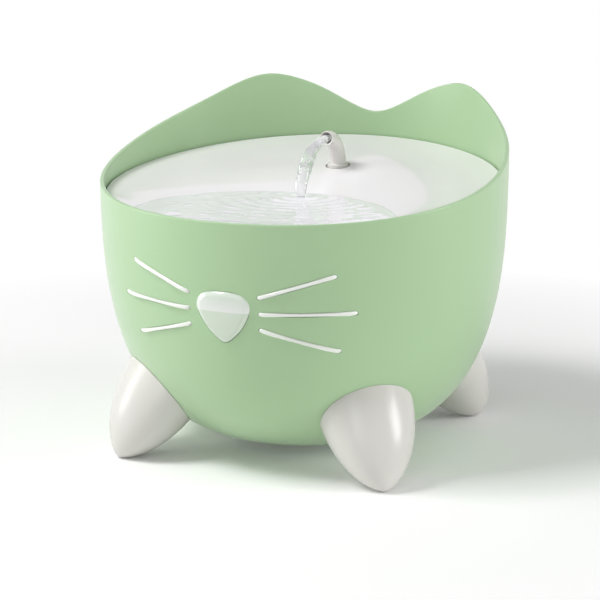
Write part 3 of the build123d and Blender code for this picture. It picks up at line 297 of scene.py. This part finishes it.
def rounded_corner(before, corner, after, radius, count):
    """The points of two lines that meet in a corner, with an arc of this radius between them. The
    arc is a rational curve whose middle weight makes it round."""
    first, last = Vector(before[-2]), Vector(after[1])
    corner = Vector(corner)
    half_turn = (first - corner).angle(last - corner) / 2
    cut = radius / math.tan(half_turn)
    kept_before = [p for p in before if (Vector(p) - corner).length > cut]
    kept_after = [p for p in after if (Vector(p) - corner).length > cut]
    start = corner + (Vector(kept_before[-1]) - corner).normalized() * cut
    end = corner + (Vector(kept_after[0]) - corner).normalized() * cut
    weight = math.sin(half_turn)
    arc = []
    for i in range(count + 1):
        t = i / count
        parts = ((1 - t) ** 2, 2 * t * (1 - t) * weight, t * t)
        point = (start * parts[0] + corner * parts[1] + end * parts[2]) / sum(parts)
        arc.append(tuple(point))
    return kept_before + arc + kept_after


def nose_outline():
    """The nose's outline as (x, z), from the middle of its top round to the same place."""
    shoulder = (NOSE_SHOULDER[0], NOSE_TOP_Z - NOSE_SHOULDER[1])
    tip = (0.0, NOSE_TIP_Z - NOSE_TIP_SHARP)
    cheek = (NOSE_CHEEK[0], NOSE_TIP_Z + NOSE_CHEEK[1])
    other_shoulder = (-shoulder[0], shoulder[1])
    whole_top = circle_through(other_shoulder, (0.0, NOSE_TOP_Z), shoulder, 2 * NOSE_TOP_STEPS)
    side = circle_through(shoulder, cheek, tip, NOSE_SIDE_STEPS)
    half_outline = rounded_corner(whole_top[NOSE_TOP_STEPS:], shoulder, side, NOSE_CORNER_ROUND,
                                  NOSE_CORNER_STEPS)
    other_half = [(-x, z) for x, z in reversed(half_outline)]
    return rounded_corner(half_outline, tip, other_half, NOSE_TIP_ROUND, NOSE_TIP_STEPS)[:-1]


def slot_outline(start, end, radius, count=9):
    """A long slot's outline as (x, z)."""
    along = math.atan2(end[1] - start[1], end[0] - start[0])
    points = []
    for middle, first in ((end, along - math.pi / 2), (start, along + math.pi / 2)):
        for i in range(count + 1):
            turn = first + math.pi * i / count
            points.append((middle[0] + radius * math.cos(turn), middle[1] + radius * math.sin(turn)))
    return points


def loft(name, rings):
    """A mesh through rings of equally many points, closed at both ends."""
    count = len(rings[0])
    points = [p for ring in rings for p in ring]
    faces = []
    for row in range(len(rings) - 1):
        for i in range(count):
            a, b = row * count + i, row * count + (i + 1) % count
            faces.append((a, b, b + count, a + count))
    faces.append(tuple(reversed(range(count))))
    faces.append(tuple(range(len(points) - count, len(points))))
    mesh = bpy.data.meshes.new(name)
    mesh.from_pydata(points, [], faces)
    mesh.update()
    piece = bpy.data.objects.new(name, mesh)
    bpy.context.scene.collection.objects.link(piece)
    return piece


def insert(name, outline, dome, flange, film):
    """A clear insert: a domed face, a plug through the wall and a flange behind it. outline(grow)
    gives its outline, grown all round, and film is what lies between the flange and the wall."""
    plug = outline(-PLUG_GAP)
    middle_x = sum(x for x, z in plug) / len(plug)
    middle_z = sum(z for x, z in plug) / len(plug)

    def ring(line, stand, share=1.0):
        return [on_wall(middle_x + share * (x - middle_x), middle_z + share * (z - middle_z), stand)
                for x, z in line]

    front = -WALL - film
    back = front - FLANGE_T
    rings = [ring(plug, stand, share) for share, stand in dome]
    rings += [ring(plug, -WALL / 2), ring(plug, front)]
    rings += [ring(outline(flange), front), ring(outline(flange), back)]
    rings += [ring(plug, back, share) for share in FLANGE_BACK]
    return loft(name, rings)


def grow_nose(grow):
    """The nose's outline, scaled about its middle so that it is `grow` wider on each side."""
    middle_z = (NOSE_TOP_Z + NOSE_TIP_Z) / 2
    scale = 1 + grow / NOSE_HALF_W
    return [(scale * x, middle_z + scale * (z - middle_z)) for x, z in nose_outline()]


def grow_whisker(side, name):
    """The outline function of one whisker."""
    root_z, tip_x, tip_z = WHISKERS[name]
    along = Vector((tip_x - WHISKER_ROOT_X, tip_z - root_z)).normalized() * (WHISKER_W / 2)
    start = (WHISKER_ROOT_X + along.x, root_z + along.y)
    end = (tip_x - along.x, tip_z - along.y)

    def outline(grow):
        points = slot_outline(start, end, WHISKER_W / 2 + grow)
        return [(side * x, z) for x, z in points[::-side]]    # both sides run round the same way
    return outline


def clear_moulding(name, dry, line, under_water_shade, transmission):
    """Clear plastic with a bright polish and a frosted back. Its colour is painted a little darker where
    the tank's water stands behind it, as painted shade, and lightest just over the water's line, as a
    painted glow."""
    material, tree = new_material(name)
    place = add_node(tree, "ShaderNodeTexCoord").outputs["Object"]
    height = add_node(tree, "ShaderNodeSeparateXYZ", {0: place}).outputs["Z"]
    # Painted light: under the water's level the colour is painted darker as shade, and just over it a
    # painted glow fades out
    over = add_node(tree, "ShaderNodeMapRange", {
        "Value": height, "From Min": TANK_LEVEL - WATER_LINE, "From Max": TANK_LEVEL + WATER_LINE})
    above = add_node(tree, "ShaderNodeMapRange", {
        "Value": height, "From Min": TANK_LEVEL, "From Max": TANK_LEVEL + PAINTED_GLOW_HEIGHT})
    glow = add_node(tree, "ShaderNodeMix", {
        "Factor": above.outputs["Result"], "A": hex_colour(line), "B": hex_colour(dry)},
        data_type="RGBA")
    tint = add_node(tree, "ShaderNodeMix", {
        "Factor": over.outputs["Result"], "A": hex_colour(under_water_shade), "B": glow.outputs["Result"]},
        data_type="RGBA")
    flow = add_node(tree, "ShaderNodeTexNoise", {
        "Vector": place, "Scale": FLOWS_PER_METRE, "Detail": 1.0})
    relief = add_node(tree, "ShaderNodeBump", {
        "Height": flow.outputs["Fac"], "Strength": FLOW_STRENGTH, "Distance": FLOW_DEPTH})
    shader = add_node(tree, "ShaderNodeBsdfPrincipled", {
        "Base Color": tint.outputs["Result"], "Roughness": CLEAR_ROUGHNESS, "IOR": POLYCARBONATE_IOR,
        "Transmission Weight": transmission, "Normal": relief.outputs["Normal"]})
    end_material(tree, shader)
    return material


# Polycarbonate for the nose: half clear, with the water's level painted on it as a line, painted shade
# below and a painted glow above
clear_lens = clear_moulding("clear_polycarbonate_lens", "EBF5E9", "FBFEFB", "E3F0DF", 0.18)
# The whiskers are thinner, and their almost white colour is a painted highlight
clear_bar = clear_moulding("clear_polycarbonate_bar", "FAFDF7", "FAFDF7", "F6FBF2", 0.08)

nose = insert("nose_lens", grow_nose, NOSE_DOME, NOSE_FLANGE, SEAL_T + GLUE_FILM)
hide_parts("nose_window")
nose.data.materials.append(clear_lens)
lenses = [nose]
for name in WHISKERS:
    for side, side_name in ((-1, "left"), (1, "right")):
        bar = insert(f"whisker_bar_{name}_{side_name}", grow_whisker(side, name), WHISKER_DOME,
                     WHISKER_FLANGE, GLUE_FILM)
        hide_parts(f"whisker_{name}_{side_name}")
        bar.data.materials.append(clear_bar)
        lenses.append(bar)
for lens in lenses:
    lens.data.shade_smooth()
    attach(lens, "base")
finish(pad_rubber, "nose_window_seal", "cable_grommet")


# ---- filter and pump ------------------------------------------------------------------------
# Under the dish a milky polypropylene housing stands on a ring on the tank's floor. It holds the
# pump, and on it lies a tray with foam and carbon under a grille.
WAVE_REPEAT = 0.314       # at scale 1 a wave texture repeats after this length
CELL_REPEAT = 1.0         # and a cell texture has cells of about this width
CELLS = ("ShaderNodeTexVoronoi", CELL_REPEAT, {})
BANDS_UP = ("ShaderNodeTexWave", WAVE_REPEAT, {"bands_direction": "Z"})
BANDS_ACROSS = ("ShaderNodeTexWave", WAVE_REPEAT, {"bands_direction": "X"})


def patterned(name, light, hollow_shade, texture, output, size, depth, roughness, **extra):
    """A material with a small repeated relief, with painted shade that makes it dark in its hollows.
    `texture` is the kind of node, its repeat at scale 1 and its settings, and `size` is the width of one
    cell or band in metres."""
    material, tree = new_material(name)
    place = add_node(tree, "ShaderNodeTexCoord").outputs["Object"]
    kind, repeat, settings = texture
    pattern = add_node(tree, kind, {"Vector": place, "Scale": repeat / size}, **settings)
    # Painted shade: the hollows of the relief are painted in the darker colour
    tint = add_node(tree, "ShaderNodeMix", {
        "Factor": pattern.outputs[output], "A": hex_colour(hollow_shade), "B": hex_colour(light)},
        data_type="RGBA")
    relief = add_node(tree, "ShaderNodeBump", {"Height": pattern.outputs[output], "Distance": depth})
    shader = add_node(tree, "ShaderNodeBsdfPrincipled", {
        "Base Color": tint.outputs["Result"], "Roughness": roughness,
        "Normal": relief.outputs["Normal"], **extra})
    end_material(tree, shader)
    return material


# Unpainted polypropylene is slightly milky, with a fine satin texture
milky_pp = moulded("milky_polypropylene", "E3E7E6", 0.38)
# The motor's casing is black ABS with a coarser texture, so it shows no finger marks
black_abs = moulded("black_abs", "242527", 0.4, depth=0.00002)
# Silicone hose is milky and a little glossy
clear_silicone = moulded("milky_silicone_tube", "DDE2E1", 0.3)
# Cord gland, pump feet and bushes: moulded rubber, matt
black_rubber = moulded("black_rubber", "2C2D2E", 0.6, grain=0.0003, depth=0.00003)
# Open-cell foam shows its pores, with painted shade in its hollows
foam = patterned("open_cell_foam", "F0F2F2", "B9C0C2", CELLS, "Distance",
                 size=0.0014, depth=0.0008, roughness=0.9)
# Carbon granules press through the thin fabric of their pouch, with painted shade in its hollows
carbon = patterned("activated_carbon_pouch", "4A4A4D", "101011", CELLS, "Distance",
                   size=0.0024, depth=0.0012, roughness=0.6)
# A bonded magnet is dark grey and dull
ferrite = moulded("moulded_ferrite", "303033", 0.5)
# The ceramic shaft is ground, so it is smooth and nearly white
ceramic = moulded("ground_alumina", "F0EEE4", 0.15, depth=0.000002)
# The motor's core shows the edges of its stacked sheets, with dark joints between them and painted shade in
# these
steel = patterned("stacked_sheet_steel", "A8ABAE", "63666A", BANDS_UP, "Fac",
                  size=0.0005, depth=0.00008, roughness=0.35, Metallic=1.0)
# The coil shows its turns of enamelled wire, with painted shade in the hollows between them
copper = patterned("enamelled_copper_wire", "C57A3E", "70391A", BANDS_ACROSS, "Fac",
                   size=0.0006, depth=0.0002, roughness=0.25, Metallic=1.0)
finish(milky_pp, "filter_housing", "filter_tray", "filter_lid", "impeller")
finish(clear_silicone, "riser_tube")
finish(black_abs, "pump_body", "pump_cover", "impeller_housing", "flow_regulator")
finish(black_rubber, "cable_gland", "pump_feet", "shaft_bushes")
finish(foam, "filter_foam")
finish(carbon, "filter_carbon")
finish(ferrite, "rotor_magnet")
finish(ceramic, "impeller_shaft")
finish(steel, "stator_core")
finish(copper, "stator_coil")


# ---- water ----------------------------------------------------------------------------------
# The tank's water stands a little over half the nose's height. It is one closed body, and the filter
# housing stands in it.
WATER_IOR = 1.333
WATER_OVERLAP = 0.0003    # water reaches this far into its vessel, so that no gap shows as a mirror
TANK_FLOOR_Z = 0.0084
LENS_DEPTH = 0.0048       # the water stays behind the windows' flanges
LENS_REACH = 42.0         # which end at this angle from the front
LENS_FADE = 6.0           # and over this angle it comes back to the wall
TANK_TURNS = 120
TANK_ROWS = 26
TANK_ROW_SPREAD = 1.6     # how much closer the rows are near the floor, where the wall curves most
TANK_MIDDLE = 0.05        # the innermost ring of the water's underside, as a share
LEVEL_RINGS = (0.98, 0.66, 0.33, 0.03)      # and the rings of its level


def water_material(name, colour, clearness):
    """Water whose surface mirrors the room, and which lets the lamps' light through to what lies
    below. Air bubbles in it make it whiter and less clear."""
    material, tree = new_material(name)
    body = add_node(tree, "ShaderNodeBsdfPrincipled", {
        "Base Color": hex_colour(colour), "Roughness": 0.0, "IOR": WATER_IOR,
        "Transmission Weight": clearness})
    through = add_node(tree, "ShaderNodeBsdfTransparent", {"Color": hex_colour(colour)})
    path = add_node(tree, "ShaderNodeLightPath")
    lit = add_node(tree, "ShaderNodeMixShader", {
        "Fac": path.outputs["Is Shadow Ray"], 1: body.outputs[0], 2: through.outputs[0]})
    end_material(tree, lit)
    return material


# Still water in tank and dish is quite clear, so it shows by its mirror image and its bent edges
water = water_material("water", "E2E3E5", 1.0)
# Falling water carries fine bubbles, which make it whitish and less clear
white_water = water_material("water_with_bubbles", "F4F4F6", 0.82)


def tank_ring(z):
    """One ring of the water's side at height z."""
    ring = []
    for i in range(TANK_TURNS):
        turn = 360 * i / TANK_TURNS
        from_front = abs(math.remainder(turn, 360))
        behind = min(1.0, max(0.0, (LENS_REACH + LENS_FADE - from_front) / LENS_FADE))
        depth = WALL - WATER_OVERLAP + behind * (LENS_DEPTH - WALL)
        radius = skin_radius(z) - depth
        angle = math.radians(turn)
        ring.append(Vector((radius * math.sin(angle), -radius * math.cos(angle), z)))
    return ring


def shrunk(ring, share):
    """A level ring, drawn in towards the bowl's axis."""
    return [Vector((share * p.x, share * p.y, p.z)) for p in ring]


fill = TANK_LEVEL - TANK_FLOOR_Z
rows = [tank_ring(TANK_FLOOR_Z + fill * (i / TANK_ROWS) ** TANK_ROW_SPREAD)
        for i in range(TANK_ROWS + 1)]
level_rows = [shrunk(rows[-1], share) for share in LEVEL_RINGS]
tank_water = loft("tank_water", [shrunk(rows[0], TANK_MIDDLE), *rows, *level_rows])
tank_water.data.materials.append(water)
tank_water.data.shade_smooth()
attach(tank_water, "base")


# ---- dish -----------------------------------------------------------------------------------
# The drinking dish closes the tank: white ABS, polished on top, with a shallow pool in front.
# The water in it runs back into the tank over the bank, through the slots at the front.

# Highly polished ABS: the spout and the rim show in it as soft mirror images
dish_abs = moulded("white_abs_dish", "F6F4F5", 0.06, depth=0.000001)
finish(dish_abs, "drinking_dish")

POOL_LEVEL = 0.1470
POOL_MIDDLE = (0.0, -0.058)
POOL_BANK_R = 0.1072      # the water's edge stands this far from the bowl's axis in front
POOL_TURNS = 200
POOL_ROWS = 70
SHORE_NEAREST = 0.01      # the shore is looked for between these distances from the pool's middle
SHORE_FURTHEST = 0.14
SHORE_HALVINGS = 18
SHORE_CALM = 0.010        # within this distance of the shore the waves die down
LOOK_DOWN_FROM = 0.03     # the dish's height is measured from this far above the water
SPLASH = (0.0, -0.0058)   # where the spout's water falls


def dish_height(x, y):
    """Height of the dish's upper surface."""
    hit, place, _, _ = cad["drinking_dish"].ray_cast((x, y, POOL_LEVEL + LOOK_DOWN_FROM), (0, 0, -1))
    return place.z if hit else POOL_LEVEL


def shore_distance(turn):
    """Distance from the pool's middle to the water's edge, in one direction."""
    low, high = SHORE_NEAREST, SHORE_FURTHEST
    for _ in range(SHORE_HALVINGS):
        tried = (low + high) / 2
        x = POOL_MIDDLE[0] + tried * math.sin(turn)
        y = POOL_MIDDLE[1] - tried * math.cos(turn)
        if math.hypot(x, y) > POOL_BANK_R or dish_height(x, y) > POOL_LEVEL:
            high = tried
        else:
            low = tried
    return low


def node_tree(name, values):
    """A Geometry Nodes tree with a shape and one input for each named value, and those inputs."""
    tree = bpy.data.node_groups.new(name, "GeometryNodeTree")
    tree.interface.new_socket("Shape", in_out="INPUT", socket_type="NodeSocketGeometry")
    for value_name, value in values.items():
        kind = "NodeSocketVector" if isinstance(value, tuple) else "NodeSocketFloat"
        tree.interface.new_socket(value_name, in_out="INPUT", socket_type=kind)
    tree.interface.new_socket("Shape", in_out="OUTPUT", socket_type="NodeSocketGeometry")
    return tree, tree.nodes.new("NodeGroupInput").outputs


def end_tree(tree, shape, material):
    """Makes what the tree repeats real, and gives it its material."""
    real = add_node(tree, "GeometryNodeRealizeInstances", {"Geometry": shape})
    painted = add_node(tree, "GeometryNodeSetMaterial", {
        "Geometry": real.outputs[0], "Material": material})
    add_node(tree, "NodeGroupOutput", {"Shape": painted.outputs[0]})


def run_tree(piece, tree, values):
    """Runs a tree on a piece with these values, and keeps the result as the piece's plain mesh."""
    modifier = piece.modifiers.new(tree.name, "NODES")
    modifier.node_group = tree
    for socket in tree.interface.items_tree:
        if socket.name in values:
            modifier[socket.identifier] = values[socket.name]
    graph = bpy.context.evaluated_depsgraph_get()
    made = bpy.data.meshes.new_from_object(piece.evaluated_get(graph))
    piece.modifiers.remove(modifier)
    piece.data = made


shores = [shore_distance(2 * math.pi * i / POOL_TURNS) for i in range(POOL_TURNS)]
points = [(POOL_MIDDLE[0], POOL_MIDDLE[1], POOL_LEVEL)]
openness = [1.0]          # 1 on open water, 0 at the shore and on the underside
for row in range(1, POOL_ROWS + 1):
    for i, shore in enumerate(shores):
        away = shore * row / POOL_ROWS
        turn = 2 * math.pi * i / POOL_TURNS
        x = POOL_MIDDLE[0] + away * math.sin(turn)
        points.append((x, POOL_MIDDLE[1] - away * math.cos(turn), POOL_LEVEL))
        openness.append(min(1.0, (shore - away) / SHORE_CALM))
top_count = len(points)
for x, y, _ in points[:top_count]:
    points.append((x, y, min(dish_height(x, y), POOL_LEVEL) - WATER_OVERLAP))
    openness.append(0.0)
faces = []
for base, turned in ((0, False), (top_count, True)):
    for i in range(POOL_TURNS):
        following = (i + 1) % POOL_TURNS
        fan = (base, base + 1 + i, base + 1 + following)
        faces.append(fan[::-1] if turned else fan)
        for row in range(POOL_ROWS - 1):
            a, b = base + 1 + row * POOL_TURNS + i, base + 1 + row * POOL_TURNS + following
            quad = (a, a + POOL_TURNS, b + POOL_TURNS, b)
            faces.append(quad[::-1] if turned else quad)
rim = 1 + (POOL_ROWS - 1) * POOL_TURNS
for i in range(POOL_TURNS):
    following = (i + 1) % POOL_TURNS
    faces.append((rim + i, top_count + rim + i, top_count + rim + following, rim + following))
pool_mesh = bpy.data.meshes.new("pool_water")
pool_mesh.from_pydata(points, [], faces)
pool_mesh.update()
pool_mesh.attributes.new("open_water", "FLOAT", "POINT").data.foreach_set("value", openness)
pool = bpy.data.objects.new("pool_water", pool_mesh)
bpy.context.scene.collection.objects.link(pool)

# Rings spread from the place where the water falls and fade, and a fine chop lies over them
wave_sizes = {
    "Splash": (*SPLASH, POOL_LEVEL),
    "Ring height": 0.0007,
    "Ring length": 0.0085,
    "Ring reach": 0.022,
    "Chop height": 0.0011,
    "Chop size": 0.011,
}
waves, sizes = node_tree("pool_waves", wave_sizes)
here = add_node(waves, "GeometryNodeInputPosition").outputs[0]
from_splash = add_node(waves, "ShaderNodeVectorMath", {
    0: here, 1: sizes["Splash"]}, operation="DISTANCE")
distance = from_splash.outputs["Value"]
turns = maths(waves, "MULTIPLY", maths(waves, "DIVIDE", distance, sizes["Ring length"]), 2 * math.pi)
reach = maths(waves, "MULTIPLY", sizes["Ring reach"], -1.0)
fading = maths(waves, "EXPONENT", maths(waves, "DIVIDE", distance, reach))
swing = maths(waves, "MULTIPLY", maths(waves, "COSINE", turns), fading)
rings = maths(waves, "MULTIPLY", swing, sizes["Ring height"])
chop = add_node(waves, "ShaderNodeTexNoise", {
    "Vector": here, "Scale": maths(waves, "DIVIDE", 1.0, sizes["Chop size"]), "Detail": 3.0,
    "Roughness": 0.6, "Distortion": 0.8})
chop_share = maths(waves, "SUBTRACT", chop.outputs[0], 0.5)
chop_height = maths(waves, "MULTIPLY", chop_share, sizes["Chop height"])
open_water = add_node(waves, "GeometryNodeInputNamedAttribute", {"Name": "open_water"},
                      data_type="FLOAT").outputs["Attribute"]
lift = maths(waves, "MULTIPLY", maths(waves, "ADD", rings, chop_height), open_water)
move = add_node(waves, "ShaderNodeCombineXYZ", {"Z": lift})
moved = add_node(waves, "GeometryNodeSetPosition", {
    "Geometry": sizes["Shape"], "Offset": move.outputs[0]})
end_tree(waves, moved.outputs[0], water)
run_tree(pool, waves, wave_sizes)
pool.data.shade_smooth()
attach(pool, "dish")


# ---- spout ----------------------------------------------------------------------------------
# A bent tube of white ABS that is pushed into a ring in the dish. The pump's water leaves its
# mouth as one flat, twisting stream and falls into the pool.
MOUTH = (0.0, 0.0348, 0.1752)      # middle of the spout's mouth
STREAM_START = 0.006      # the stream starts this far inside the mouth
STREAM_PULL = -0.0035     # the y that the stream would reach if it left the mouth level and straight
STREAM_DIP = 0.001        # it ends this far under the pool's level
STREAM_STEPS = 140
STREAM_SIDES = 28

# Polished ABS, a little warmer than the dish and painted darker than it as shade, so the tube stands out
# from it
spout_abs = moulded("white_abs_spout", "DDDAD6", 0.12, depth=0.000002)
finish(spout_abs, "spout", "spout_collar")
finish(pad_rubber, "spout_o_ring")

# The stream is a flat tube along a falling curve, widest halfway, with lumps that the air makes
stream_sizes = {
    "Start": (MOUTH[0], MOUTH[1] + STREAM_START, MOUTH[2]),
    "Pull": (MOUTH[0], STREAM_PULL, MOUTH[2]),
    "End": (*SPLASH, POOL_LEVEL - STREAM_DIP),
    "Start width": 0.0031,
    "End width": 0.0026,
    "Bulge": 0.0018,
    "Flatness": 0.62,
    "Twist": 3.2,
    "Unevenness": 0.0018,
    "Unevenness size": 0.008,
}
stream, sizes = node_tree("falling_water", stream_sizes)
fall = add_node(stream, "GeometryNodeCurveQuadraticBezier", {
    "Resolution": STREAM_STEPS, "Start": sizes["Start"], "Middle": sizes["Pull"],
    "End": sizes["End"]})
along = add_node(stream, "GeometryNodeSplineParameter").outputs["Factor"]
narrow = add_node(stream, "ShaderNodeMapRange", {
    "Value": along, "To Min": sizes["Start width"], "To Max": sizes["End width"]})
# 4 t (1 - t) is 1 halfway and 0 at both ends
left_over = maths(stream, "MULTIPLY", maths(stream, "SUBTRACT", 1.0, along), 4.0)
bulge = maths(stream, "MULTIPLY", maths(stream, "MULTIPLY", left_over, along), sizes["Bulge"])
width = maths(stream, "ADD", narrow.outputs["Result"], bulge)
twisted = add_node(stream, "GeometryNodeSetCurveTilt", {
    "Curve": fall.outputs[0], "Tilt": maths(stream, "MULTIPLY", along, sizes["Twist"])})
circle = add_node(stream, "GeometryNodeCurvePrimitiveCircle", {
    "Resolution": STREAM_SIDES, "Radius": 1.0})
flat = add_node(stream, "ShaderNodeCombineXYZ", {"X": 1.0, "Y": sizes["Flatness"], "Z": 1.0})
profile = add_node(stream, "GeometryNodeTransform", {
    "Geometry": circle.outputs[0], "Scale": flat.outputs[0]})
tube = add_node(stream, "GeometryNodeCurveToMesh", {
    "Curve": twisted.outputs[0], "Profile Curve": profile.outputs[0], "Scale": width,
    "Fill Caps": True})
here = add_node(stream, "GeometryNodeInputPosition").outputs[0]
facing = add_node(stream, "GeometryNodeInputNormal").outputs[0]
lumps = add_node(stream, "ShaderNodeTexNoise", {
    "Vector": here, "Scale": maths(stream, "DIVIDE", 1.0, sizes["Unevenness size"]), "Detail": 2.0})
lump_share = maths(stream, "SUBTRACT", lumps.outputs[0], 0.5)
swell = maths(stream, "MULTIPLY", lump_share, sizes["Unevenness"])
push = add_node(stream, "ShaderNodeVectorMath", {0: facing, "Scale": swell}, operation="SCALE")
uneven = add_node(stream, "GeometryNodeSetPosition", {
    "Geometry": tube.outputs[0], "Offset": push.outputs[0]})
end_tree(stream, uneven.outputs[0], white_water)
falling = bpy.data.objects.new("falling_water", bpy.data.meshes.new("falling_water"))
bpy.context.scene.collection.objects.link(falling)
run_tree(falling, stream, stream_sizes)
falling.data.shade_smooth()
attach(falling, "spout")
